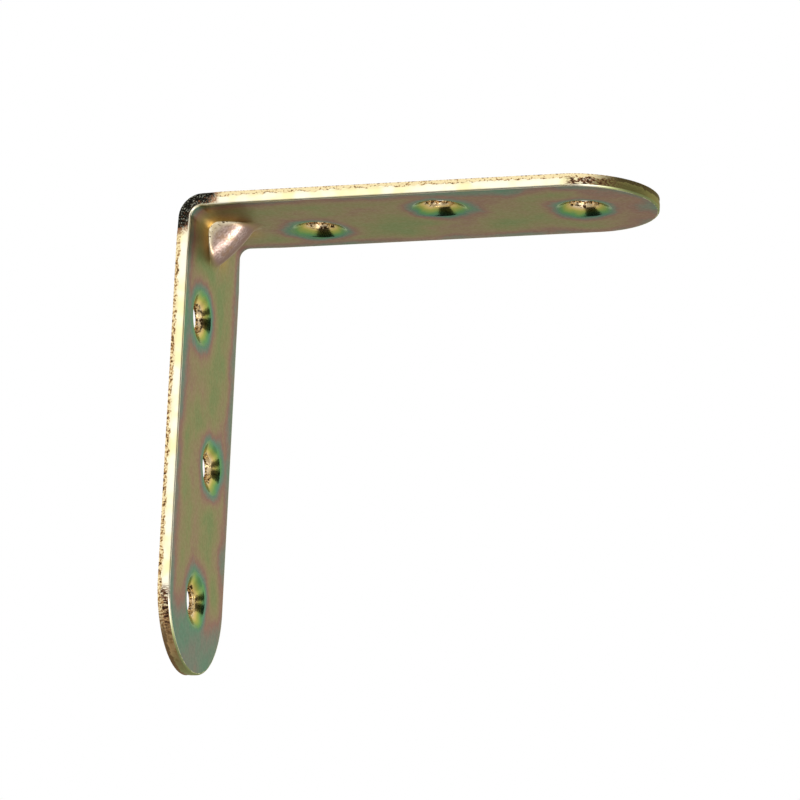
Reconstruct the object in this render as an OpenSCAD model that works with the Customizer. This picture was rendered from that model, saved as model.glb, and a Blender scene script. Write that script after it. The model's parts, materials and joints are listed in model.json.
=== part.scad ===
// Corner brace bracket: one strip of sheet steel, sheared with round ends, pierced with
// staggered countersunk screw holes, stiffened by a gusset pressed into the corner, and
// folded to a right angle.
//
// The origin is where the two outer faces would meet, in the middle of the strip's width.
// The shelf leg runs along +X with its outer face up, at Z = 0. The wall leg runs along -Z
// with its outer face towards -X, at X = 0. The strip's width lies along Y.

/* [Strip] */
// Length of either leg, from the outer corner to the tip of its round end
leg_len = 75; // [68:1:110]
// Width of the strip, which is also the diameter of its round ends
strip_w = 25; // [23:0.5:34]
// Thickness of the sheet
strip_t = 2; // [1.6:0.1:2.6]
// Radius that the shears roll over along the edge of the inner face
roll_r = 0.3; // [0.1:0.05:0.5]

/* [Fold] */
// Radius of the fold on the inner face
fold_r = 1.75; // [1:0.25:2.5]
// Depth by which either side of the strip draws in at the middle of the fold
neck_depth = 0.4; // [0.2:0.05:0.8]
// Distance from the outer corner to where a leg has its full width again
neck_reach = 7; // [5:0.5:9]

/* [Corner gusset] */
// Distance from the corner of the inner faces to the gusset's tip, along either leg
gusset_reach = 7.4; // [6.6:0.1:8.6]
// Radius of the gusset's rounded nose
gusset_nose_r = 2.15; // [2:0.05:2.6]
// Lean of either flank from the strip's middle plane, in degrees
gusset_lean = 21; // [15:1:26]
// Thickness of the sheet where it is stretched over the gusset
gusset_wall = 1.7; // [1.4:0.1:1.8]

/* [Screw holes] */
// Distance from the outer corner to the first hole of a leg
hole_first = 18.2; // [16:0.1:20]
// Distance from the tip of a leg to its last hole, which lies on the middle line
hole_last = 11.8; // [9:0.1:14]
// Distance of the other two holes from the strip's middle line, one to either side
hole_stagger = 4; // [1:0.5:6]
// Diameter of the bore
bore_d = 4.5; // [3.5:0.1:5.5]
// Diameter of the countersink at the inner face
sink_d = 8.8; // [7:0.1:10.5]
// Depth of the countersink
sink_depth = 1.05; // [0.7:0.05:1.3]

/* [Hidden] */
$fn = 64;

half_w = strip_w / 2;
end_centre = leg_len - half_w;
// The fold's axis lies this far inside both outer faces, and the legs are flat beyond it
fold_end = strip_t + fold_r;
// Half of the neck's chord, and the radius of the hollow that it belongs to
neck_half = neck_reach / sqrt(2);
neck_r = (neck_half * neck_half + neck_depth * neck_depth) / (2 * neck_depth);
// Height of the gusset's ridge over the corner of the inner faces
ridge_height = gusset_reach / sqrt(2);
// Depth to which the gusset's body is rooted in the sheet under it
gusset_root = strip_t / 5;
// The gusset's flanks lie this far inside the nose's tangent, so they meet it in a clear line
flank_inset = 0.02;
// A cut runs on past the faces it leaves by this much
overrun = 1;
// Place of each hole: distance along the leg from the outer corner, and across the strip
hole_middle = (hole_first + leg_len - hole_last) / 2;
HOLES = [
    [hole_first, hole_stagger],
    [hole_middle, -hole_stagger],
    [leg_len - hole_last, 0]
];

// The strip's section: x across the width, y from the inner face at -strip_t to the outer at 0.
// The edges of the inner face are rolled over by the shears.
module strip_section() {
    difference() {
        translate([-half_w, -strip_t]) square([strip_w, strip_t]);
        edge_roll();
        mirror([1, 0]) edge_roll();
    }
}

// What the roll-over takes from one corner of the section
module edge_roll() {
    translate([half_w - roll_r, roll_r - strip_t]) difference() {
        translate([0, -2 * roll_r]) square(2 * roll_r);
        circle(roll_r);
    }
}

// One half of the section, to be turned about the strip's middle line
module half_section() {
    intersection() {
        strip_section();
        translate([0, -strip_t]) square([strip_w, strip_t]);
    }
}

// The shelf leg's sheet: the section carried straight on from the fold, then turned through
// half a circle for the round end
module leg_sheet() {
    translate([fold_end, 0, 0]) rotate([90, 0, 90])
        linear_extrude(end_centre - fold_end) strip_section();
    translate([end_centre, 0, 0]) rotate([0, 0, -90])
        rotate_extrude(angle = 180) half_section();
}

// The fold: the section turned through a quarter circle about an axis along Y
module fold() {
    translate([fold_end, 0, -fold_end]) rotate([90, 0, 0]) rotate([0, 0, 90])
        rotate_extrude(angle = 90) translate([fold_end, 0]) mirror([1, -1]) strip_section();
}

// A countersunk hole through the shelf leg, open at the inner face
module countersunk_hole() {
    sink_slope = (sink_d - bore_d) / (2 * sink_depth);
    translate([0, 0, -strip_t - overrun]) {
        cylinder(d = bore_d, h = strip_t + 2 * overrun);
        cylinder(d1 = sink_d + 2 * overrun * sink_slope, d2 = bore_d, h = sink_depth + overrun);
    }
}

// One leg with its holes
module leg() {
    difference() {
        leg_sheet();
        for (place = HOLES) translate([place[0], place[1], 0]) countersunk_hole();
    }
}

// What the neck takes from the strip's side towards +Y
module neck_cut() {
    translate([0, half_w - neck_depth + neck_r, 0]) rotate([0, 135, 0])
        cylinder(r = neck_r, h = 4 * fold_end, center = true, $fn = 128);
}

// A bar along the gusset's ridge, at 45 degrees to both legs. Its section is a round nose
// that runs out into a straight flank on either side, down to the given depth below the
// corner of the inner faces. A smaller nose radius gives the section of the dent.
module ridge_bar(nose_r, depth, length) {
    centre = ridge_height - gusset_nose_r;
    shoulder_w = (nose_r - flank_inset) * cos(gusset_lean);
    shoulder_h = centre + (nose_r - flank_inset) * sin(gusset_lean);
    foot_w = shoulder_w + (shoulder_h + depth) * tan(gusset_lean);
    translate([strip_t, 0, -strip_t]) rotate([0, 135, 0]) rotate([90, 0, 90])
        linear_extrude(length, center = true) {
            translate([0, centre]) circle(nose_r);
            polygon([
                [-foot_w, -depth], [foot_w, -depth],
                [shoulder_w, shoulder_h], [-shoulder_w, shoulder_h]
            ]);
        }
}

// The gusset's body on the inner side, rooted in both legs and in the fold
module gusset_body() {
    inset = strip_t - gusset_root;
    intersection() {
        ridge_bar(gusset_nose_r, gusset_root * sqrt(2), 4 * gusset_reach);
        translate([inset, -half_w, -inset - leg_len]) cube([leg_len, strip_w, leg_len]);
    }
}

// The dent that the pressing tool leaves behind the gusset, open at the outer faces
module gusset_dent() {
    ridge_bar(gusset_nose_r - gusset_wall, strip_t * sqrt(2) + overrun, 6 * gusset_reach);
}

module bracket() {
    color([0.56, 0.54, 0.36]) difference() {
        union() {
            leg();
            // The strip was pierced flat, so the wall leg is the shelf leg turned half a turn
            // about the line that bisects the corner
            rotate(180, [1, 0, -1]) leg();
            fold();
            gusset_body();
        }
        gusset_dent();
        neck_cut();
        mirror([0, 1, 0]) neck_cut();
    }
}

bracket();
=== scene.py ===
"""Corner brace bracket: the looks of the sheared, pierced, pressed and folded steel strip.

The model is in metres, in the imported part's own frame. The shelf leg runs along +X with its
outer face up, the wall leg hangs down along -Z, and the strip's width lies along Y. The strip's
sizes are in millimetres, and its mesh is worked out in them and scaled once at the end.
"""
import json
import math

import bmesh
import bpy
import numpy as np
from mathutils import Matrix, Vector


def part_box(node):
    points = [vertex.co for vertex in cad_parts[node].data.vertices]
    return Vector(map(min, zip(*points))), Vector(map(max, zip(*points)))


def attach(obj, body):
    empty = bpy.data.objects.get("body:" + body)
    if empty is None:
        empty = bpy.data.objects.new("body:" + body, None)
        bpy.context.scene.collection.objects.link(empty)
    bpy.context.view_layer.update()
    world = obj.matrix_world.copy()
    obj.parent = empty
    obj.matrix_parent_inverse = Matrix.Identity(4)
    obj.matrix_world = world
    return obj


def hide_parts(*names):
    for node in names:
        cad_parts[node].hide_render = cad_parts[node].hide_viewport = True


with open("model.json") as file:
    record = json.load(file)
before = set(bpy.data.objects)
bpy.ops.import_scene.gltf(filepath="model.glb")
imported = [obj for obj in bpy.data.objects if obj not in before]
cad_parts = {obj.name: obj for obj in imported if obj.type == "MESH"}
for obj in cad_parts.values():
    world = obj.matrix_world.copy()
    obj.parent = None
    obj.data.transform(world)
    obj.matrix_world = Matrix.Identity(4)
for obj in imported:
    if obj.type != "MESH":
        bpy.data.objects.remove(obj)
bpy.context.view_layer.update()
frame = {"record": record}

MM = 0.001
SQRT2 = math.sqrt(2)

# Sizes of the strip, from the frame's box and its screw holes
BOX_LOW, BOX_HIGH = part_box("bracket")
LEG_LENGTH = round((BOX_HIGH.x - BOX_LOW.x) / MM, 3)
HALF_WIDTH = round((BOX_HIGH.y - BOX_LOW.y) / MM / 2, 3)
SHELF_BORES = [m for m in frame["record"]["mounts"] if m["name"].startswith("shelf_hole")]
HOLES = [(round(m["pos_m"][0] / MM, 3), round(m["pos_m"][1] / MM, 3)) for m in SHELF_BORES]
BORE_R = SHELF_BORES[0]["dims"]["r_mm"]
SHEET_T = 2.0
SINK_DEPTH = SHEET_T - SHELF_BORES[0]["dims"]["length_mm"]
SINK_R = 4.4
END_CENTRE = LEG_LENGTH - HALF_WIDTH

# Fold, neck and gusset: the solid's own sizes, and then the half width of the gusset's section
FOLD_R = 1.75
FOLD_END = SHEET_T + FOLD_R
NECK_DEPTH = 0.4
NECK_REACH = 7.0
NECK_HALF = NECK_REACH / SQRT2
NECK_R = (NECK_HALF ** 2 + NECK_DEPTH ** 2) / (2 * NECK_DEPTH)
GUSSET_REACH = 7.4
GUSSET_NOSE_R = 2.15
RIDGE_HEIGHT = GUSSET_REACH / SQRT2
RIDGE_HALF = 3.35
# The ridge is bowed: how far it falls away from its middle, per square millimetre
RIDGE_BOW = 0.024
DENT_NOSE_R = 0.45
DENT_CENTRE = RIDGE_HEIGHT - GUSSET_NOSE_R
DENT_LEAN = math.radians(21)
# Height over which the gusset runs out into the sheet: along its flanks, along its ridge, and the
# one at the mouth of its dent
CREASE_SOFTNESS = 0.28
RIDGE_SOFTNESS = 1.7
DENT_SOFTNESS = 0.9

# Edges: the shears roll the inner face over, and leave a small break at the outer face, and the
# torn part of the edge lies inside the burnished part
ROLL_R = 0.3
OUTER_BREAK = 0.05
TORN_DEPTH = 0.07
# The sheet dips round a countersink: depth at the rim, and how far out the dip reaches
DISH_DEPTH = 0.035
DISH_REACH = 1.8
RIM_SOFTNESS = 0.14
# The lip between the cone and the bore is rounded, and the bore tapers in towards the outer face
LIP_R = 0.12
BORE_TAPER = 0.24

# How finely the surfaces are cut. The corner's own grid ends at CORNER_END along either leg. The
# rings round a hole lie closest between the two radii of RIM_CLOSE on the inner face, and within
# MOUTH_CLOSE on the outer one
CORNER_END = 11.5
RIM_CLOSE = (3.9, 5.0)
MOUTH_CLOSE = 3.2
LEG_GAP = 0.17
FOLD_STEPS = 18
SIDE_GAP = 0.55
JOINT_GAP = 0.5
END_STEPS = 72
INNER_RINGS = 5
OUTER_RINGS = 4

# Finishes, in the order of the piece's material slots
FACE, SHEARED, PIERCED = range(3)

# What the finishes read at each vertex. Distances in mm: rim, from the nearest countersink's rim,
# negative down its cone, and edge, from the strip's edge. From 0 to 1: thin, how much thinner the
# passivation film is, which at the shelf leg's tip also darkens it as painted shade; strain, how far
# the sheet was stretched over the gusset; rub, a painted highlight along the gusset's
# foot; through, the way from the inner face to the outer; bend, how far the fold worked the metal,
# which also lays the fold's painted reflection and the gusset's painted shade at its tips; round,
# how far the sheared edge has turned towards the tip
MARKS = ("rim", "edge", "thin", "strain", "rub", "through", "bend", "round")

# Film thickness, from 0 thin to 1 thick, against distance from a countersink's rim
FILM_STOPS = (
    (-3.6, 0.0), (-2.5, 0.05), (-1.6, 0.18), (-0.5, 0.36), (0.0, 0.44),
    (0.8, 0.56), (1.7, 0.69), (2.8, 0.8), (4.4, 0.89),
)
RIM_NEAR, RIM_FAR = FILM_STOPS[0][0], FILM_STOPS[-1][0]
# Where in the noise the film's long patches are taken from
PATCH_SHIFT = (104, 56, 232)
# Share of its thickness by which the film drifts, on the faces and in the holes
FACE_DRIFT, HOLE_DRIFT = 0.23, 0.1
# The film thins by this much at the fold
THIN_BEND = 0.1
# It thins by this much at the strip's edge, which fades out between these distances from it
THIN_EDGE = 0.3
EDGE_START, EDGE_END = 0.4, 5.4
# It thins by this much at the tip of either leg, which starts and is full at these distances past
# the centre of the round end. At the shelf leg's tip the thinning turns the face darker mauve, which
# is partly painted shade
TIP_THINNING_AND_SHADE = {"shelf": 0.26, "wall": 0.37}
TIP_START, TIP_END = -4.0, 7.0
# The fold's working, with the painted reflection and painted shade that follow it, fades out between
# these distances from the corner of the faces
BEND_START, BEND_END = 2.6, 8.0
# The same for the black of the folded edge
BLACK_START, BLACK_END = 2.2, 6.2
# Height over which the gusset's flank turns pale
PALE_HEIGHT = 1.3
# How pale it already is at its foot: places across the strip, and the shares there
PALE_START = ((-1.5, 1.5), (0.2, -0.4))
# Half the width of the painted highlight along the flank's foot, and the distances from the corner
# between which it fades out. On the side towards +Y they are shorter by the last value
FOOT_HIGHLIGHT_WIDTH = 0.2
FOOT_HIGHLIGHT_START, FOOT_HIGHLIGHT_END = 3.2, 5.8
FOOT_HIGHLIGHT_SHORTER = 2.6
# Heights down the wall leg. The sheared edge is pitted more past the first pair. Past the second
# the shelf leg's end colours, darkened as painted shade, give way to those of the wall leg's end,
# and past the third its tip is green
PITTED_START, PITTED_END = -3.0, -9.0
LOWER_START, LOWER_END = -60.0, -64.0
GREEN_START, GREEN_END = -72.4, -75.4


def graded(stops, gaps):
    """Samples from the first stop to the last, evenly spaced by about one gap between two stops."""
    parts = [
        np.linspace(a, b, max(1, round((b - a) / gap)), endpoint=False)
        for a, b, gap in zip(stops, stops[1:], gaps)
    ]
    return np.concatenate(parts + [[stops[-1]]])


# Places across the strip where the corner is cut, from -1 to 1, closest on the gusset's flanks,
# and the plainer ones where two cells of a leg meet
FACE_HALF = HALF_WIDTH - ROLL_R
FINE_STOPS = [-FACE_HALF, -4.4, -1.5, 1.5, 4.4, FACE_HALF]
FINE_GAPS = [0.42, 0.11, 0.2, 0.11, 0.42]
FINE_ACROSS = graded(FINE_STOPS, FINE_GAPS) / FACE_HALF
PLAIN_ACROSS = graded([-1, 1], [JOINT_GAP / FACE_HALF])
# Where a leg's cells, one round each hole, meet
CELL_JOINTS = [(a[0] + b[0]) / 2 for a, b in zip(HOLES, HOLES[1:])]


def soft_max(a, b, width):
    """The larger of two heights, joined by a parabola where they differ by less than width."""
    near = np.maximum(width - np.abs(a - b), 0) / width
    return np.maximum(a, b) + near ** 2 * width / 4


def turned(points):
    """The shelf leg's points carried to the wall leg, by half a turn about the corner's diagonal:
    (x, y, z) goes to (-z, -y, -x)."""
    return -points[..., ::-1]


def neck(along):
    """How far the strip's sides draw in at a place along the corner's diagonal: the depth of a
    shallow circular hollow, deepest at the middle of the fold."""
    reach = np.minimum(np.abs(along), NECK_HALF)
    return NECK_DEPTH - NECK_R + np.sqrt(NECK_R ** 2 - reach ** 2)


def fold_line(offset):
    """The line of one face through the corner, seen from the side, where the corner of the two
    faces lies offset inside both outer faces. It is given in the corner's own frame: along runs
    up the diagonal from the wall leg to the shelf leg, and height is the distance from the corner
    square to that. A leg is height = |along|, and the fold is the arc that touches both."""
    radius = FOLD_END - offset
    leg = (graded([FOLD_END, CORNER_END], [LEG_GAP])[::-1] - offset) / SQRT2
    turn = np.linspace(math.pi / 4, -math.pi / 4, FOLD_STEPS + 1)[1:-1]
    along = np.concatenate([leg, radius * np.sin(turn), -leg[::-1]])
    height = np.concatenate([leg, radius * (SQRT2 - np.cos(turn)), leg[::-1]])
    return along, height


def corner_points(along, height, across, offset):
    """Points of the corner from its own frame: x and z are those of the corner of the faces, plus
    the sum, and less the difference, of height and along over the root of 2."""
    x = offset + (height + along) / SQRT2
    z = -offset - (height - along) / SQRT2
    return np.stack([x, across + 0 * x, z], axis=-1)


def gusset_profile(across):
    """Height of the gusset's section over the corner of the inner faces: half an ellipse, run on
    steeply downwards beyond its foot."""
    share = np.abs(across) / RIDGE_HALF
    return RIDGE_HEIGHT * (np.sqrt(np.maximum(1 - share ** 2, 0)) - 3 * np.maximum(share - 1, 0))


def dent_profile(across):
    """Height of the dent's section over the corner of the outer faces: a small circle, run out
    into straight flanks that lean from the middle plane, tangent to it."""
    side = np.abs(across)
    shoulder = DENT_NOSE_R * math.cos(DENT_LEAN)
    nose = np.sqrt(np.maximum(DENT_NOSE_R ** 2 - side ** 2, 0))
    flank = DENT_NOSE_R * math.sin(DENT_LEAN) - (side - shoulder) / math.tan(DENT_LEAN)
    return SQRT2 * SHEET_T + DENT_CENTRE + np.where(side < shoulder, nose, flank)


def crease_softness(across):
    """The gusset's softness: wide along the ridge, and narrow from its foot outwards."""
    share = np.clip(np.abs(across) / RIDGE_HALF, 0, 1)
    return RIDGE_SOFTNESS + (CREASE_SOFTNESS - RIDGE_SOFTNESS) * share ** 1.5


def fade_mark(along, start, end):
    """A mark that is 1 up to the distance start from the corner, measured along a leg, and falls
    smoothly to 0 at end."""
    share = np.clip((end - np.abs(along) * SQRT2) / (end - start), 0, 1)
    return share * share * (3 - 2 * share)


def grid_quads(rows, columns, closed):
    """Corner numbers of a grid's quads. A closed grid's last column is joined to its first."""
    number = np.arange(rows * columns).reshape(rows, columns)
    if closed:
        number = np.concatenate([number, number[:, :1]], axis=1)
    corners = [number[:-1, :-1], number[:-1, 1:], number[1:, 1:], number[1:, :-1]]
    return np.stack(corners, axis=-1).reshape(-1, 4)


def surface(points, finish, closed=False, **marks):
    """One surface of the piece: a grid of points with its quads, their finish, and the marks that
    the finishes read. The finish may be given row by row."""
    rows, columns = points.shape[:2]
    quads = grid_quads(rows, columns, closed)
    row_finish = np.broadcast_to(finish, rows - 1)
    return {
        "points": points.reshape(-1, 3),
        "quads": quads,
        "finish": np.repeat(row_finish, len(quads) // (rows - 1)),
        **{name: np.broadcast_to(marks.get(name, 0.0), (rows, columns)).ravel() for name in MARKS},
    }


def nearest_hole(points):
    """Distance of the corner's points from the nearest hole's axis, which is that of the first
    hole of the shelf leg, or of the wall leg."""
    u, y = HOLES[0]
    return np.minimum(*(np.hypot(p[..., 0] - u, p[..., 1] - y) for p in (points, turned(points))))


def corner_face(offset, inset, hole_r, profile, softness):
    """One face of the strip through the corner: the fold's line carried across the strip, raised
    to a profile by a soft maximum, with its sides drawn in by the neck. It ends at inset from the
    strip's sides. The gusset's foot, on the inner face, is where the section meets the line, and
    it carries a painted highlight, a bell curve of the distance from there."""
    along, line = fold_line(offset)
    along, line = along[:, None], line[:, None]
    edge_y = HALF_WIDTH - inset
    across = FINE_ACROSS * edge_y - neck(along) * np.sign(FINE_ACROSS) * np.abs(FINE_ACROSS) ** 3
    ridge, width = profile(across) - RIDGE_BOW * along ** 2, softness(across)
    foot = RIDGE_HALF * np.sqrt(np.maximum(1 - (line / RIDGE_HEIGHT) ** 2, 0))
    rub = np.exp(-((np.abs(across) - foot) / FOOT_HIGHLIGHT_WIDTH) ** 2) if offset else 0.0
    shorter = np.where(across > 0, FOOT_HIGHLIGHT_SHORTER, 0.0)
    points = corner_points(along, soft_max(line, ridge, width), across, offset)
    bend = fade_mark(along, BEND_START, BEND_END)
    return surface(
        points, FACE,
        rim=nearest_hole(points) - hole_r,
        edge=HALF_WIDTH - np.abs(across),
        thin=THIN_BEND * bend,
        strain=np.clip(np.interp(across, *PALE_START) + (ridge - line) / PALE_HEIGHT, 0, 1),
        rub=rub * fade_mark(along, FOOT_HIGHLIGHT_START - shorter, FOOT_HIGHLIGHT_END - shorter),
        through=0.0 if offset else 1.0,
        bend=bend,
    )


def cell_outline(start, start_across, end, end_across, inset):
    """The line round one hole's share of the leg, as (u, y) points counter-clockwise: out along
    the -Y side, across or round the end, back along the +Y side, and across to the start. The
    last cell has no end_across, and ends in the leg's round end."""
    edge_y = HALF_WIDTH - inset
    side = graded([start, end], [SIDE_GAP])
    if end_across is None:
        turn = np.linspace(-math.pi / 2, math.pi / 2, END_STEPS + 1)[:-1]
        far = np.stack([end + edge_y * np.cos(turn), edge_y * np.sin(turn)], axis=-1)
    else:
        far = np.stack([np.full(len(end_across) - 1, end), edge_y * end_across[:-1]], axis=-1)
    near = np.stack([np.full(len(start_across) - 1, start), -edge_y * start_across[:-1]], axis=-1)
    out = np.stack([side[:-1], np.full(len(side) - 1, -edge_y)], axis=-1)
    back = np.stack([side[:0:-1], np.full(len(side) - 1, edge_y)], axis=-1)
    return np.concatenate([out, far, back, near])


def hole_profile():
    """A countersunk hole's wall, from the outer face up the land, round the lip, and up the cone
    to the collar beyond the rim: radius, depth below the inner face, and distance along the wall
    from the rim. The cone is a straight slope, joined by a soft maximum to the dip that fades
    out, as the square of the distance left, towards the collar."""
    mouth = np.radians([0, 30, 60, 90])
    mouth_r = BORE_R - BORE_TAPER + OUTER_BREAK * (1 - np.sin(mouth))
    mouth_depth = SHEET_T - OUTER_BREAK * (1 - np.cos(mouth))
    corner = math.pi / 2 - math.atan2(SINK_DEPTH, SINK_R - BORE_R)
    lip = np.linspace(0, corner, 5)
    lip_r = BORE_R + LIP_R * (1 - np.cos(lip))
    lip_depth = SINK_DEPTH + LIP_R * (math.tan(corner / 2) - np.sin(lip))
    land_depth = np.linspace(mouth_depth[-1], lip_depth[0], 7)[1:-1]
    slope_r = graded([lip_r[-1], *RIM_CLOSE, SINK_R + DISH_REACH], [0.2, 0.08, 0.28])[1:]
    cone = SINK_DEPTH * (SINK_R - slope_r) / (SINK_R - BORE_R)
    dip = DISH_DEPTH * ((SINK_R + DISH_REACH - slope_r) / DISH_REACH) ** 2
    land_r = np.linspace(mouth_r[-1], lip_r[0], 7)[1:-1]
    radius = np.concatenate([mouth_r, land_r, lip_r, slope_r])
    depth = np.concatenate([mouth_depth, land_depth, lip_depth, soft_max(cone, dip, RIM_SOFTNESS)])
    run = np.concatenate([[0], np.cumsum(np.hypot(np.diff(radius), np.diff(depth)))])
    return radius, depth, run - np.interp(SINK_R, slope_r, run[-len(slope_r):])


def spread_rings(centre, aim, outline, radii, rings):
    """Plan of a hole's surroundings: circles at the given radii, with their points towards those
    of aim, then rings that run from the last circle to the outline in straight lines."""
    arm = aim - centre
    ray = arm / np.linalg.norm(arm, axis=-1, keepdims=True)
    circles = centre + radii[:, None, None] * ray
    share = (np.arange(1, rings + 1) / rings)[:, None, None]
    return np.concatenate([circles, circles[-1] + share * (outline - circles[-1])])


def edge_distance(plan):
    """Distance of (u, y) points from the strip's edge: half the width less their distance from
    the middle line, or from the centre of the round end."""
    beyond = np.maximum(plan[..., 0] - END_CENTRE, 0)
    return HALF_WIDTH - np.hypot(beyond, plan[..., 1])


def tip_share(plan):
    """How near (u, y) points are to the leg's tip: a smooth step over its last part."""
    share = np.clip((plan[..., 0] - END_CENTRE - TIP_START) / (TIP_END - TIP_START), 0, 1)
    return share * share * (3 - 2 * share)


def leg_surfaces(tip_thinning_and_shade):
    """The shelf leg's two faces and its hole walls, in one cell of the leg round each hole. The
    film thins by tip_thinning_and_shade towards the tip, which on the shelf leg also darkens the face
    as painted shade."""
    radius, depth, run = hole_profile()
    mouth_radii = graded([radius[0], MOUTH_CLOSE, radius[-1]], [0.25, 0.8])
    in_hole = np.arange(len(radius) + INNER_RINGS - 1) < np.searchsorted(run, 0)
    row_finish = np.where(in_hole, PIERCED, FACE)
    starts = [CORNER_END] + CELL_JOINTS
    ends = CELL_JOINTS + [END_CENTRE]
    starts_across = [FINE_ACROSS] + [PLAIN_ACROSS] * len(CELL_JOINTS)
    ends_across = [PLAIN_ACROSS] * len(CELL_JOINTS) + [None]
    made = []
    for hole, *cell in zip(HOLES, starts, starts_across, ends, ends_across):
        outline = cell_outline(*cell, ROLL_R)
        plan = spread_rings(hole, outline, outline, radius, INNER_RINGS)
        depths = np.concatenate([depth, np.zeros(INNER_RINGS)])[:, None] + 0 * plan[..., 0]
        distance = np.linalg.norm(plan - hole, axis=-1) - SINK_R
        distance[:len(run)] = run[:, None]
        made.append(surface(
            np.concatenate([plan, depths[..., None] - SHEET_T], axis=-1), row_finish, closed=True,
            rim=distance, edge=edge_distance(plan), thin=tip_thinning_and_shade * tip_share(plan),
            through=depths / SHEET_T,
        ))
        outer_outline = cell_outline(*cell, OUTER_BREAK)
        plan = spread_rings(hole, outline, outer_outline, mouth_radii, OUTER_RINGS)
        distance = np.linalg.norm(plan - hole, axis=-1) - BORE_R
        made.append(surface(
            np.concatenate([plan, 0 * plan[..., :1]], axis=-1), FACE, closed=True,
            rim=distance, edge=edge_distance(plan), thin=tip_thinning_and_shade * tip_share(plan), through=1.0,
        ))
    return made


def leg_edge():
    """The nominal edge of the shelf leg, from the +Y side round the tip to the -Y side: its points
    on the inner face, those on the outer face, and the outward normals. The straight sides stand
    off the middle line, and the round end stands off its centre, by half the width."""
    stops = [CORNER_END] + CELL_JOINTS + [END_CENTRE]
    side = graded(stops, [SIDE_GAP] * len(stops))
    turn = np.linspace(math.pi / 2, -math.pi / 2, END_STEPS + 1)
    axis = np.concatenate([side[:-1], np.full(len(turn), END_CENTRE), side[-2::-1]])
    angle = np.concatenate([np.full(len(side) - 1, turn[0]), turn, np.full(len(side) - 1, turn[-1])])
    normal = np.stack([np.cos(angle), np.sin(angle), 0 * angle], axis=-1)
    outer = np.stack([axis, 0 * axis, 0 * axis], axis=-1) + HALF_WIDTH * normal
    return outer - [0, 0, SHEET_T], outer, normal


def corner_edge(side):
    """The nominal edge of the corner on one side, -1 or 1, from the shelf leg to the wall leg."""
    lines = []
    for offset in (SHEET_T, 0):
        along, line = fold_line(offset)
        lines.append(corner_points(along, line, side * (HALF_WIDTH - neck(along)), offset))
    return *lines, np.zeros_like(lines[0]) + [0, side, 0]


def edge_profile():
    """Section of a sheared edge from the inner face to the outer: the share of the thickness, and
    the distance outwards from the nominal side. A quarter round rolls over from the inner face,
    then comes the burnished band, and then the torn part, which lies a little further in."""
    turn = np.radians(np.linspace(0, 90, 6))
    roll_through = ROLL_R * (1 - np.cos(turn)) / SHEET_T
    roll_out = -ROLL_R * (1 - np.sin(turn))
    band_through = [0.32, 0.46, 0.58, 0.66, 0.76, 0.88, 0.97, 1.0]
    band_out = -TORN_DEPTH * np.array([0, 0, 0.15, 0.6, 0.95, 1.0, 0.85, OUTER_BREAK / TORN_DEPTH])
    return np.concatenate([roll_through, band_through]), np.concatenate([roll_out, band_out])


def side_surface():
    """The sheared edge all round the strip: its section carried along the edge. With a on the
    inner face's nominal edge and b on the outer's, a point is a, plus its share of the way to b,
    plus its distance along the outward normal. Its border's points are also the faces', which read
    rim and thin there."""
    shelf = leg_edge()
    wall = [turned(line) for line in shelf]
    front, back = corner_edge(-1), corner_edge(1)
    pieces = [shelf, front, wall, [line[::-1] for line in back]]
    inner, outer, normal = (np.concatenate([piece[k][:-1] for piece in pieces]) for k in range(3))
    through, outwards = (values[:, None, None] for values in edge_profile())
    points = inner + through * (outer - inner) + outwards * normal
    diagonal = (inner[:, 0] + inner[:, 2]) / SQRT2
    rounded = np.arccos(np.minimum(np.abs(normal[:, 1]), 1)) * 2 / math.pi
    thin = TIP_THINNING_AND_SHADE["shelf"] * tip_share(points) + TIP_THINNING_AND_SHADE["wall"] * tip_share(turned(points))
    return surface(
        points, SHEARED, closed=True, rim=RIM_FAR, thin=thin, through=through[..., 0],
        bend=fade_mark(diagonal, BLACK_START, BLACK_END), round=rounded,
    )


def bracket_surfaces():
    """Every surface of the strip: both legs, the corner's two faces, and the edge all round."""
    shelf = leg_surfaces(TIP_THINNING_AND_SHADE["shelf"])
    wall = [{**part, "points": turned(part["points"])} for part in leg_surfaces(TIP_THINNING_AND_SHADE["wall"])]
    inner = corner_face(SHEET_T, ROLL_R, SINK_R, gusset_profile, crease_softness)
    outer = corner_face(0, OUTER_BREAK, BORE_R, dent_profile, lambda across: DENT_SOFTNESS)
    return shelf + wall + [inner, outer, side_surface()]


def make_mesh(name, surfaces, weld, sharp):
    """One closed mesh in metres from surfaces that share their border points: the points are put
    together, welded where they meet, and the faces turned outwards."""
    counts = [0] + [len(part["points"]) for part in surfaces[:-1]]
    starts = np.cumsum(counts)
    points = np.concatenate([part["points"] for part in surfaces]) * MM
    quads = np.concatenate([part["quads"] + start for part, start in zip(surfaces, starts)])
    mesh = bpy.data.meshes.new(name)
    mesh.from_pydata(points, [], quads)
    mesh.polygons.foreach_set("material_index", np.concatenate([part["finish"] for part in surfaces]))
    for mark in MARKS:
        values = np.concatenate([part[mark] for part in surfaces]).astype(np.float32)
        mesh.attributes.new(mark, "FLOAT", "POINT").data.foreach_set("value", values)
    work = bmesh.new()
    work.from_mesh(mesh)
    bmesh.ops.remove_doubles(work, verts=work.verts, dist=weld)
    bmesh.ops.recalc_face_normals(work, faces=work.faces)
    work.to_mesh(mesh)
    work.free()
    mesh.polygons.foreach_set("use_smooth", np.ones(len(mesh.polygons), bool))
    mesh.set_sharp_from_angle(angle=sharp)
    return mesh


def make_piece(name, mesh, finishes):
    """The object of one mesh, with its finishes in the order of the slots."""
    piece = bpy.data.objects.new(name, mesh)
    bpy.context.scene.collection.objects.link(piece)
    for finish in finishes:
        mesh.materials.append(finish)
    return piece


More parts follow.
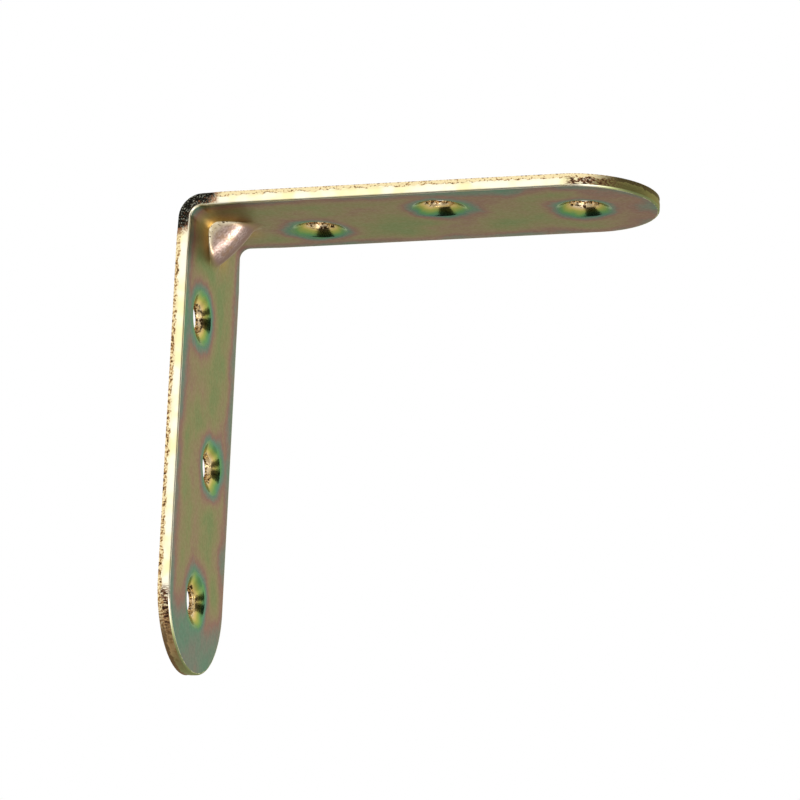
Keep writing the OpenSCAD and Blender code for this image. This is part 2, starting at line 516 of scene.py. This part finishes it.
# Camera, as in the photograph: azimuth and elevation of the camera seen from the bracket, roll
# about its line of sight, distance, lens and the place of the reference point in the picture
VIEW_AZIMUTH = math.radians(18.0)
VIEW_ELEVATION = math.radians(-15.0)
VIEW_ROLL = math.radians(2.5)
VIEW_DISTANCE = 825 * MM
FOCAL_PIXELS = 5242.0
PICTURE_PIXELS = 800
SENSOR_WIDTH = 36.0
VIEW_POINT = Vector((30 * MM, 0, -30 * MM))
# Right and up from the picture's middle to the reference point
VIEW_OFFSET = (-3.927 * MM, 1.624 * MM)


def make_camera():
    """The camera looks back along the line from the reference point to it; right and up are
    turned by the roll."""
    ca, sa = math.cos(VIEW_AZIMUTH), math.sin(VIEW_AZIMUTH)
    ce, se = math.cos(VIEW_ELEVATION), math.sin(VIEW_ELEVATION)
    back = Vector((sa * ce, -ca * ce, se))
    right = Vector((ca, sa, 0))
    up = back.cross(right)
    cr, sr = math.cos(VIEW_ROLL), math.sin(VIEW_ROLL)
    right, up = cr * right + sr * up, cr * up - sr * right
    data = bpy.data.cameras.new("view")
    data.sensor_width = SENSOR_WIDTH
    data.lens = FOCAL_PIXELS * SENSOR_WIDTH / PICTURE_PIXELS
    data.clip_start, data.clip_end = 0.05, 20
    camera = bpy.data.objects.new("view", data)
    bpy.context.scene.collection.objects.link(camera)
    camera.location = VIEW_POINT - right * VIEW_OFFSET[0] - up * VIEW_OFFSET[1] + back * VIEW_DISTANCE
    camera.rotation_mode = "QUATERNION"
    camera.rotation_quaternion = Matrix((right, up, back)).transposed().to_quaternion()
    bpy.context.scene.camera = camera


def tint(red, green, blue):
    """The linear colour that a shader takes, from one as a screen shows it, from 0 to 255."""
    share = np.array([red, green, blue]) / 255
    linear = np.where(share <= 0.04045, share / 12.92, ((share + 0.055) / 1.055) ** 2.4)
    return (*linear.tolist(), 1.0)


# Colours of the passivation film as it thickens, at their places from 0 to 1
FILM_COLOURS = (
    (0.00, tint(248, 228, 200)),
    (0.12, tint(224, 194, 122)),
    (0.22, tint(170, 172, 84)),
    (0.36, tint(104, 152, 92)),
    (0.48, tint(94, 136, 116)),
    (0.58, tint(120, 126, 116)),
    (0.68, tint(146, 110, 102)),
    (0.79, tint(150, 132, 102)),
    (0.90, tint(140, 138, 96)),
    (1.00, tint(124, 138, 92)),
)
# Gold where the fold worked the film, brightened as a painted reflection of light in the concave corner
FOLD_GOLD_AND_REFLECTION = tint(180, 146, 86)
STRETCHED = (tint(196, 172, 160), tint(152, 126, 114), tint(164, 132, 106))
# A painted highlight, laid along the gusset's foot
PAINTED_FOOT_HIGHLIGHT = tint(255, 244, 214)
BURNISHED = tint(255, 248, 222)
BURNISHED_WARM = tint(250, 238, 184)
# The round ends: the shelf leg's band and torn part, darkened as painted shade, the wall leg's
# band, the painted highlight on the rolled edge of either leg, and the green of that edge and of
# the wall leg's tip
END_OLIVE_SHADED = tint(142, 136, 82)
END_DARK_SHADED = tint(104, 92, 58)
END_GOLD = tint(224, 188, 132)
END_PAINTED_HIGHLIGHT = tint(214, 220, 150)
END_GREEN = tint(142, 150, 100)
SCORED = tint(64, 44, 28)
TORN_LIGHT = tint(252, 236, 190)
TORN_BROWN = tint(190, 146, 90)
WORN_BROWN = tint(146, 118, 82)
TORN_DARK = tint(74, 52, 32)
FOLD_BLACK = tint(26, 25, 20)
FOLD_BROWN = tint(150, 104, 76)
FOLD_FLECK = tint(176, 174, 156)
# Tint of the metal's reflections at a grazing angle
GRAZING = (0.72, 0.7, 0.56, 1.0)
# Depth of the grain, in millimetres, on the strip and in its holes
GRAIN_DEPTH, HOLE_GRAIN_DEPTH = 0.012, 0.01


def add_node(tree, kind, settings=None, **inputs):
    """Adds a node with its settings; each input is a value or the socket that feeds it."""
    node = tree.nodes.new(kind)
    for name, value in (settings or {}).items():
        setattr(node, name, value)
    for name, value in inputs.items():
        feed(tree, node.inputs[name.replace("_", " ")], value)
    return node


def feed(tree, socket, value):
    """Links a socket to the one that feeds it, or sets its value."""
    if isinstance(value, bpy.types.NodeSocket):
        tree.links.new(value, socket)
    else:
        socket.default_value = value


def calculate(tree, operation, *values, clamp=False):
    """The result of a Math node."""
    node = add_node(tree, "ShaderNodeMath", {"operation": operation, "use_clamp": clamp})
    for socket, value in zip(node.inputs, values):
        feed(tree, socket, value)
    return node.outputs[0]


def rescale(tree, value, low, high, to_low=0.0, to_high=1.0, smooth=True):
    """A value taken from one range to another, held at the ends."""
    kind = "SMOOTHSTEP" if smooth else "LINEAR"
    node = add_node(
        tree, "ShaderNodeMapRange", {"interpolation_type": kind},
        Value=value, From_Min=low, From_Max=high, To_Min=to_low, To_Max=to_high,
    )
    return node.outputs["Result"]


def blend_colours(tree, share, first, second):
    """The mix of two colours: the first where share is 0, the second where it is 1."""
    node = add_node(tree, "ShaderNodeMix", {"data_type": "RGBA"})
    for index, value in ((0, share), (6, first), (7, second)):
        feed(tree, node.inputs[index], value)
    return node.outputs[2]


def speckle(tree, place, scale, detail=2.0, stretch=(1, 1, 1), shift=(0, 0, 0)):
    """Noise from 0 to 1 about a half, with the given number of features a millimetre, after the
    place is stretched along each axis and shifted."""
    moved = add_node(tree, "ShaderNodeMapping", Vector=place, Scale=stretch, Location=shift)
    node = add_node(tree, "ShaderNodeTexNoise", Vector=moved.outputs[0], Scale=scale, Detail=detail)
    return node.outputs["Fac"]


def new_group(name, inputs, outputs):
    """A shader node group with its sockets, and its inner input and output nodes. Inputs and
    outputs are (name, kind) pairs."""
    group = bpy.data.node_groups.new(name, "ShaderNodeTree")
    for way, sockets in (("INPUT", inputs), ("OUTPUT", outputs)):
        for socket, kind in sockets:
            group.interface.new_socket(socket, in_out=way, socket_type="NodeSocket" + kind)
    return group, group.nodes.new("NodeGroupInput").outputs, group.nodes.new("NodeGroupOutput").inputs


def film_group():
    """Passivation film. Its thickness grows from a countersink's cone outwards, but not past that
    of the plain face, which thins towards the strip's edges and wherever Thin says so. The smooth
    minimum of the two drifts in long soft patches and a fine mottle, by the share Drift. Each
    thickness has its own colour of interference."""
    group, given, result = new_group(
        "passivation_film",
        [("Place", "Vector"), ("Rim", "Float"), ("Edge", "Float"), ("Thin", "Float"), ("Drift", "Float")],
        [("Color", "Color")],
    )
    waver = rescale(group, speckle(group, given["Place"], 0.25), 0.3, 0.7, -0.35, 0.35)
    distance = calculate(group, "ADD", given["Rim"], waver)
    way_out = rescale(group, distance, RIM_NEAR, RIM_FAR, smooth=False)
    laid = add_node(group, "ShaderNodeValToRGB", Fac=way_out)
    span = RIM_FAR - RIM_NEAR
    set_ramp(laid.color_ramp, [((d - RIM_NEAR) / span, (f, f, f, 1)) for d, f in FILM_STOPS])
    patches = speckle(group, given["Place"], 0.11, 2.0, (0.8, 1.0, 0.8), PATCH_SHIFT)
    patches = rescale(group, patches, 0.25, 0.75, -1.0, 1.0, smooth=False)
    mottle = speckle(group, given["Place"], 1.8, 3.0, (0.7, 1.0, 0.7))
    mottle = rescale(group, mottle, 0.3, 0.7, -0.16, 0.16)
    drift = calculate(group, "ADD", patches, mottle)
    drift = calculate(group, "MULTIPLY_ADD", drift, given["Drift"], 1.0)
    lost = rescale(group, given["Edge"], EDGE_START, EDGE_END, THIN_EDGE, 0.0)
    lost = calculate(group, "MAXIMUM", given["Thin"], lost)
    plain = calculate(group, "SUBTRACT", FILM_STOPS[-1][1], lost)
    film = calculate(group, "SMOOTH_MIN", laid.outputs["Color"], plain, 0.1)
    film = calculate(group, "MULTIPLY", film, drift, clamp=True)
    ramp = add_node(group, "ShaderNodeValToRGB", Fac=film)
    set_ramp(ramp.color_ramp, FILM_COLOURS)
    feed(group, result["Color"], ramp.outputs["Color"])
    return group


def set_ramp(ramp, stops):
    """Gives a colour ramp its stops, as (place, colour) pairs."""
    while len(ramp.elements) < len(stops):
        ramp.elements.new(1.0)
    for element, (place, colour) in zip(ramp.elements, stops):
        element.position = place
        element.color = colour


def grain_group():
    """Mill grain: fine lines along the rolled strip and a soft pebbling under them."""
    group, given, result = new_group(
        "mill_grain", [("Place", "Vector")], [("Height", "Float"), ("Mask", "Float")]
    )
    lines = speckle(group, given["Place"], 5.0, 3.0, (0.12, 1.0, 0.12))
    pebbles = speckle(group, given["Place"], 2.2, 3.0)
    feed(group, result["Height"], calculate(group, "MULTIPLY_ADD", lines, 0.4, pebbles))
    feed(group, result["Mask"], pebbles)
    return group


def torn_group():
    """Torn steel, as at the far side of a sheared edge: bright facets among brown and dark pits,
    of which there are more as Pitting goes from 0 to 1."""
    group, given, result = new_group(
        "torn_steel",
        [("Place", "Vector"), ("Pitting", "Float")],
        [("Color", "Color"), ("Height", "Float")],
    )
    lift = rescale(group, given["Pitting"], 0.0, 1.0, 0.14, -0.14, smooth=False)
    pits = calculate(group, "ADD", speckle(group, given["Place"], 3.0, 3.0), lift)
    colour = blend_colours(group, rescale(group, pits, 0.38, 0.54), TORN_BROWN, TORN_LIGHT)
    dark = rescale(group, pits, 0.3, 0.4, 1.0, 0.0)
    feed(group, result["Color"], blend_colours(group, dark, colour, TORN_DARK))
    feed(group, result["Height"], pits)
    return group


def new_finish(name):
    """An empty finish: its material and node tree, its shader, and the place on the strip in
    millimetres."""
    material = bpy.data.materials.new(name)
    material.use_nodes = True
    tree = material.node_tree
    shader = tree.nodes["Principled BSDF"]
    shader.inputs["Metallic"].default_value = 1.0
    shader.inputs["Specular Tint"].default_value = GRAZING
    coordinates = tree.nodes.new("ShaderNodeTexCoord").outputs["Object"]
    place = add_node(tree, "ShaderNodeMapping", Vector=coordinates, Scale=(1 / MM,) * 3).outputs[0]
    return material, tree, shader, place


def mark_value(tree, name):
    """A mark that the mesh carries."""
    return add_node(tree, "ShaderNodeAttribute", {"attribute_name": name}).outputs["Fac"]


def add_group(tree, group, **inputs):
    """A placed node group's outputs."""
    return add_node(tree, "ShaderNodeGroup", {"node_tree": group}, **inputs).outputs


def add_bump(tree, shader, height, depth):
    """Raises the shader's surface by height times depth, which is in millimetres."""
    bump = add_node(tree, "ShaderNodeBump", Height=height, Distance=depth * MM)
    feed(tree, shader.inputs["Normal"], bump.outputs["Normal"])


def face_finish(film, grain):
    """The strip's faces: passivated zinc with the mill's grain, golden where the fold worked it and
    brightened there by a painted reflection, stretched pale and rough over the gusset's flanks, with
    painted shade along its ridge and at its tips, and a painted highlight along its foot."""
    material, tree, shader, place = new_finish("zinc_face")
    strain, edge, bend = (mark_value(tree, name) for name in ("strain", "edge", "bend"))
    colour = add_group(
        tree, film, Place=place, Rim=mark_value(tree, "rim"), Edge=edge,
        Thin=mark_value(tree, "thin"), Drift=FACE_DRIFT,
    )["Color"]
    # The fold's gold: partly the worked film, partly a painted reflection of light in the concave corner
    worked = calculate(tree, "MULTIPLY", bend, rescale(tree, edge, 4.5, 9.0))
    colour = blend_colours(tree, worked, colour, FOLD_GOLD_AND_REFLECTION)
    blotches = speckle(tree, place, 0.5, 3.0)
    scuffs = speckle(tree, place, 5.0, 3.0, (0.5, 1.0, 0.5))
    pale = blend_colours(tree, rescale(tree, scuffs, 0.3, 0.7), *STRETCHED[1::-1])
    pale = blend_colours(tree, rescale(tree, blotches, 0.5, 0.7), pale, STRETCHED[2])
    # Painted shade: the pale flank darkens towards the gusset's tips, and along its ridge
    pale = blend_colours(tree, rescale(tree, bend, 0.4, 0.95), STRETCHED[1], pale)
    pale = blend_colours(tree, rescale(tree, edge, 11.2, 12.4), pale, STRETCHED[1])
    colour = blend_colours(tree, strain, colour, pale)
    # Painted highlight along the gusset's foot, with dark nicks in it
    rub = mark_value(tree, "rub")
    colour = blend_colours(tree, rub, colour, PAINTED_FOOT_HIGHLIGHT)
    nicks = rescale(tree, speckle(tree, place, 2.2, 3.0), 0.6, 0.64)
    nicks = calculate(tree, "MULTIPLY", nicks, rub)
    feed(tree, shader.inputs["Base Color"], blend_colours(tree, nicks, colour, TORN_DARK))
    texture = add_group(tree, grain, Place=place)
    feed(tree, shader.inputs["Roughness"], rescale(tree, texture["Mask"], 0.3, 0.7, 0.3, 0.42))
    ripple = calculate(tree, "MULTIPLY", scuffs, calculate(tree, "MULTIPLY", strain, 1.6))
    add_bump(tree, shader, calculate(tree, "ADD", texture["Height"], ripple), GRAIN_DEPTH)
    return material


def end_colours(tree, place, height):
    """Colours of the round ends, for the burnished band and for the torn part: olive and dark on
    the shelf leg, where the darkness is painted shade, and gold and brown on the wall leg, whose band
    is mottled and has a green tip."""
    lower = rescale(tree, height, LOWER_START, LOWER_END)
    mottled = rescale(tree, speckle(tree, place, 1.2, 3.0), 0.46, 0.7)
    gold = blend_colours(tree, mottled, END_GOLD, TORN_BROWN)
    tip = rescale(tree, height, GREEN_START, GREEN_END)
    gold = blend_colours(tree, tip, gold, END_GREEN)
    band = blend_colours(tree, lower, END_OLIVE_SHADED, gold)
    return band, blend_colours(tree, lower, END_DARK_SHADED, WORN_BROWN)


def burnished_band(tree, place, rounded, end):
    """The burnished band's colour: bright and a little uneven along the sides, scored where a
    round end starts, and the end's own colour from there on."""
    uneven = rescale(tree, speckle(tree, place, 0.3), 0.4, 0.7)
    band = blend_colours(tree, uneven, BURNISHED, BURNISHED_WARM)
    band = blend_colours(tree, rescale(tree, rounded, 0.14, 0.34), band, end)
    scored = rescale(tree, rounded, 0.25, 0.6, 1.0, 0.0)
    scored = calculate(tree, "MULTIPLY", rescale(tree, rounded, 0.03, 0.12), scored)
    hatch = speckle(tree, place, 4.2, 3.0, (0.4, 1.0, 1.0))
    for low, high, colour in ((0.4, 0.5, FOLD_BROWN), (0.5, 0.56, SCORED)):
        share = calculate(tree, "MULTIPLY", scored, rescale(tree, hatch, low, high))
        band = blend_colours(tree, share, band, colour)
    return band


def torn_part(tree, torn, place, height, through, past):
    """The torn part's steel, with its height: pitted most along the line where it starts, at the
    outer face, and down the wall leg."""
    deeper = rescale(tree, past, 0.02, 0.14, 1.0, 0.0)
    deeper = calculate(tree, "MAXIMUM", deeper, rescale(tree, through, 0.93, 0.99))
    down = rescale(tree, height, PITTED_START, PITTED_END, 0.0, 0.85)
    deeper = calculate(tree, "MAXIMUM", deeper, down)
    pitting = rescale(tree, deeper, 0.0, 1.0, 0.15, 0.66)
    return add_group(tree, torn, Place=place, Pitting=pitting)


def rolled_edge(tree, rounded, through, worn, colour):
    """The colour with a painted highlight laid over the rolled edge of the inner face: a bright line
    round the ends, which turns green towards the tips."""
    line = rescale(tree, through, 0.1, 0.17, 1.0, 0.0)
    line = calculate(tree, "MULTIPLY", rescale(tree, rounded, 0.04, 0.2), line)
    painted_highlight = blend_colours(tree, worn, BURNISHED, END_PAINTED_HIGHLIGHT)
    painted_highlight = blend_colours(tree, rescale(tree, rounded, 0.36, 0.62), painted_highlight, END_GREEN)
    return blend_colours(tree, line, colour, painted_highlight)


def folded_edge(tree, place, through, wander, colour):
    """The colour with the fold's brown and ragged black laid over it, and the share of black. They
    reach further along the edge at the outer face, and leave the rolled edge bright."""
    fine = speckle(tree, place, 4.5, 3.0)
    inside = rescale(tree, through, 0.1, 0.16)
    reach = calculate(tree, "MULTIPLY_ADD", wander, 0.55, mark_value(tree, "bend"))
    reach = calculate(tree, "MULTIPLY_ADD", through, 0.3, reach)
    brown = rescale(tree, fine, 0.4, 0.62, 1.0, 0.35)
    brown = calculate(tree, "MULTIPLY", rescale(tree, reach, 0.6, 1.05), brown)
    brown = calculate(tree, "MULTIPLY", brown, inside)
    colour = blend_colours(tree, brown, colour, FOLD_BROWN)
    ragged = calculate(tree, "MULTIPLY_ADD", fine, 1.2, reach)
    black = calculate(tree, "MULTIPLY", rescale(tree, ragged, 1.74, 1.9), inside)
    fleck = blend_colours(tree, rescale(tree, fine, 0.56, 0.68), FOLD_BLACK, FOLD_FLECK)
    return blend_colours(tree, black, colour, fleck), black


def sheared_finish(torn, grain):
    """The sheared edge: a burnished band, then torn steel past a wandering line. Both take the
    ends' colours round the tips, the shelf leg's painted darker as painted shade; the rolled edge of
    the inner face stays bright, with a painted highlight round the ends, and the whole
    edge is worked rough and black where the strip is folded."""
    material, tree, shader, place = new_finish("zinc_sheared")
    through, rounded = mark_value(tree, "through"), mark_value(tree, "round")
    height = add_node(tree, "ShaderNodeSeparateXYZ", Vector=place).outputs["Z"]
    wander = speckle(tree, place, 0.9, 4.0)
    line = rescale(tree, wander, 0.25, 0.75, 0.52, 0.86, smooth=False)
    past = calculate(tree, "SUBTRACT", through, line)
    fall = rescale(tree, past, -0.03, 0.03)
    end_band, end_torn = end_colours(tree, place, height)
    band = burnished_band(tree, place, rounded, end_band)
    pits = torn_part(tree, torn, place, height, through, past)
    worn = rescale(tree, rounded, 0.2, 0.5)
    colour = blend_colours(tree, fall, band, blend_colours(tree, worn, pits["Color"], end_torn))
    # Painted highlight on the rolled edge round the ends
    colour = rolled_edge(tree, rounded, through, worn, colour)
    colour, black = folded_edge(tree, place, through, wander, colour)
    feed(tree, shader.inputs["Base Color"], colour)
    rough = calculate(tree, "MAXIMUM", fall, black)
    dull = calculate(tree, "MAXIMUM", rough, rescale(tree, rounded, 0.1, 0.3, 0.0, 0.6))
    feed(tree, shader.inputs["Roughness"], rescale(tree, dull, 0.0, 1.0, 0.3, 0.6))
    texture = add_group(tree, grain, Place=place)["Height"]
    rugged = calculate(tree, "MULTIPLY", pits["Height"], calculate(tree, "MULTIPLY", rough, 5.0))
    add_bump(tree, shader, calculate(tree, "ADD", texture, rugged), GRAIN_DEPTH)
    return material


def pierced_finish(film, torn, grain):
    """The countersinks and bores: a smooth cone with clean rings of film, nicks along the lip, a
    bright land, and torn steel where the punch broke through. They lie away from the strip's edge,
    so the film isn't thinned for it."""
    material, tree, shader, place = new_finish("zinc_pierced")
    through = mark_value(tree, "through")
    rim = mark_value(tree, "rim")
    colour = add_group(tree, film, Place=place, Rim=rim, Edge=EDGE_END, Drift=HOLE_DRIFT)["Color"]
    pits = add_group(tree, torn, Place=place, Pitting=1.0)
    ragged = calculate(tree, "MULTIPLY_ADD", speckle(tree, place, 1.4, 3.0), 0.5, through)
    fall = rescale(tree, ragged, 0.96, 1.04)
    colour = blend_colours(tree, fall, colour, pits["Color"])
    lip = rescale(tree, through, 0.62, 0.8, 1.0, 0.0)
    lip = calculate(tree, "MULTIPLY", rescale(tree, through, 0.42, 0.5), lip)
    nicks = rescale(tree, speckle(tree, place, 1.7, 3.0), 0.53, 0.58)
    nicks = calculate(tree, "MULTIPLY", lip, nicks)
    feed(tree, shader.inputs["Base Color"], blend_colours(tree, nicks, colour, TORN_DARK))
    feed(tree, shader.inputs["Roughness"], rescale(tree, through, 0.42, 0.6, 0.16, 0.36))
    texture = add_group(tree, grain, Place=place)["Height"]
    rugged = calculate(tree, "MULTIPLY", pits["Height"], calculate(tree, "MULTIPLY", fall, 6.0))
    add_bump(tree, shader, calculate(tree, "ADD", texture, rugged), HOLE_GRAIN_DEPTH)
    return material


# Signs of a quad's corners, in order round it
QUAD = ((-1, -1), (1, -1), (1, 1), (-1, 1))


def make_sheet(name, corners, colour, roughness):
    """A flat four-cornered sheet of one plain colour, which is no part of the bracket."""
    mesh = bpy.data.meshes.new(name)
    mesh.from_pydata(corners, [], [(0, 1, 2, 3)])
    plain = bpy.data.materials.new(name)
    plain.use_nodes = True
    shader = plain.node_tree.nodes["Principled BSDF"]
    shader.inputs["Base Color"].default_value = colour
    shader.inputs["Roughness"].default_value = roughness
    mesh.materials.append(plain)
    sheet = bpy.data.objects.new(name, mesh)
    bpy.context.scene.collection.objects.link(sheet)
    return sheet


def make_floor(half, height):
    """A plain pale floor, far below the bracket."""
    corners = [(x * half, y * half, height) for x, y in QUAD]
    floor = make_sheet("floor", corners, tint(236, 236, 236), 0.9)


def make_card(name, centre, side_a, side_b):
    """A dark card that only shows in the metal's reflections: a quad about its centre, spanned by
    two half sides."""
    centre, side_a, side_b = (np.array(v, float) for v in (centre, side_a, side_b))
    corners = [centre + a * side_a + b * side_b for a, b in QUAD]
    card = make_sheet(name, corners, (0.02, 0.02, 0.02, 1), 1.0)
    card.visible_camera = card.visible_diffuse = card.visible_shadow = False


def make_lamp(name, place, size, power):
    """A square soft lamp that faces the bracket."""
    data = bpy.data.lights.new(name, "AREA")
    data.size = size
    data.energy = power
    lamp = bpy.data.objects.new(name, data)
    bpy.context.scene.collection.objects.link(lamp)
    lamp.location = place
    lamp.rotation_mode = "QUATERNION"
    lamp.rotation_quaternion = (Vector(place) - VIEW_POINT).to_track_quat("Z", "Y")
    lamp.visible_camera = False


def make_world(level):
    """A white studio: pure white to the camera and in reflections, and a plain level of light."""
    world = bpy.data.worlds.new("studio")
    bpy.context.scene.world = world
    world.use_nodes = True
    tree = world.node_tree
    path = tree.nodes.new("ShaderNodeLightPath").outputs
    seen = calculate(tree, "MAXIMUM", path["Is Camera Ray"], path["Is Glossy Ray"])
    seen = calculate(tree, "MAXIMUM", seen, path["Is Transmission Ray"])
    background = tree.nodes["Background"]
    background.inputs["Color"].default_value = (1, 1, 1, 1)
    feed(tree, background.inputs["Strength"], rescale(tree, seen, 0.0, 1.0, level, 1.0, smooth=False))


# Level of the world's light, the floor's half side and height, each lamp's place, side and power,
# and each card's centre and half sides
WORLD_LEVEL = 0.8
FLOOR = (4.0, -0.9)
LAMPS = {
    "key": ((-0.36, -1.1, 0.3), 0.5, 0.25),
    "spark": ((0.56, -0.66, -0.5), 0.15, 2.8),
}
CARDS = {
    "card_below": ((-0.12, -0.1, -0.45), (0.12, 0, 0), (0, 0.42, 0)),
    "card_right_low": ((0.5, -0.15, -0.053), (0, 0.42, 0), (0, 0, 0.048)),
    "card_right_high": ((0.5, -0.15, 0.145), (0, 0.42, 0), (0, 0, 0.115)),
}

make_camera()
make_world(WORLD_LEVEL)
make_floor(*FLOOR)
for name, lamp in LAMPS.items():
    make_lamp(name, *lamp)
for name, card in CARDS.items():
    make_card(name, *card)

film, grain, torn = film_group(), grain_group(), torn_group()
FINISHES = [face_finish(film, grain), sheared_finish(torn, grain), pierced_finish(film, torn, grain)]
WELD = 1e-6
SHARP = math.radians(35)
strip = make_mesh("bracket_strip", bracket_surfaces(), WELD, SHARP)
bracket = make_piece("bracket_strip", strip, FINISHES)
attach(bracket, "root")
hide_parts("bracket")
bpy.context.scene.view_settings.view_transform = "Standard"
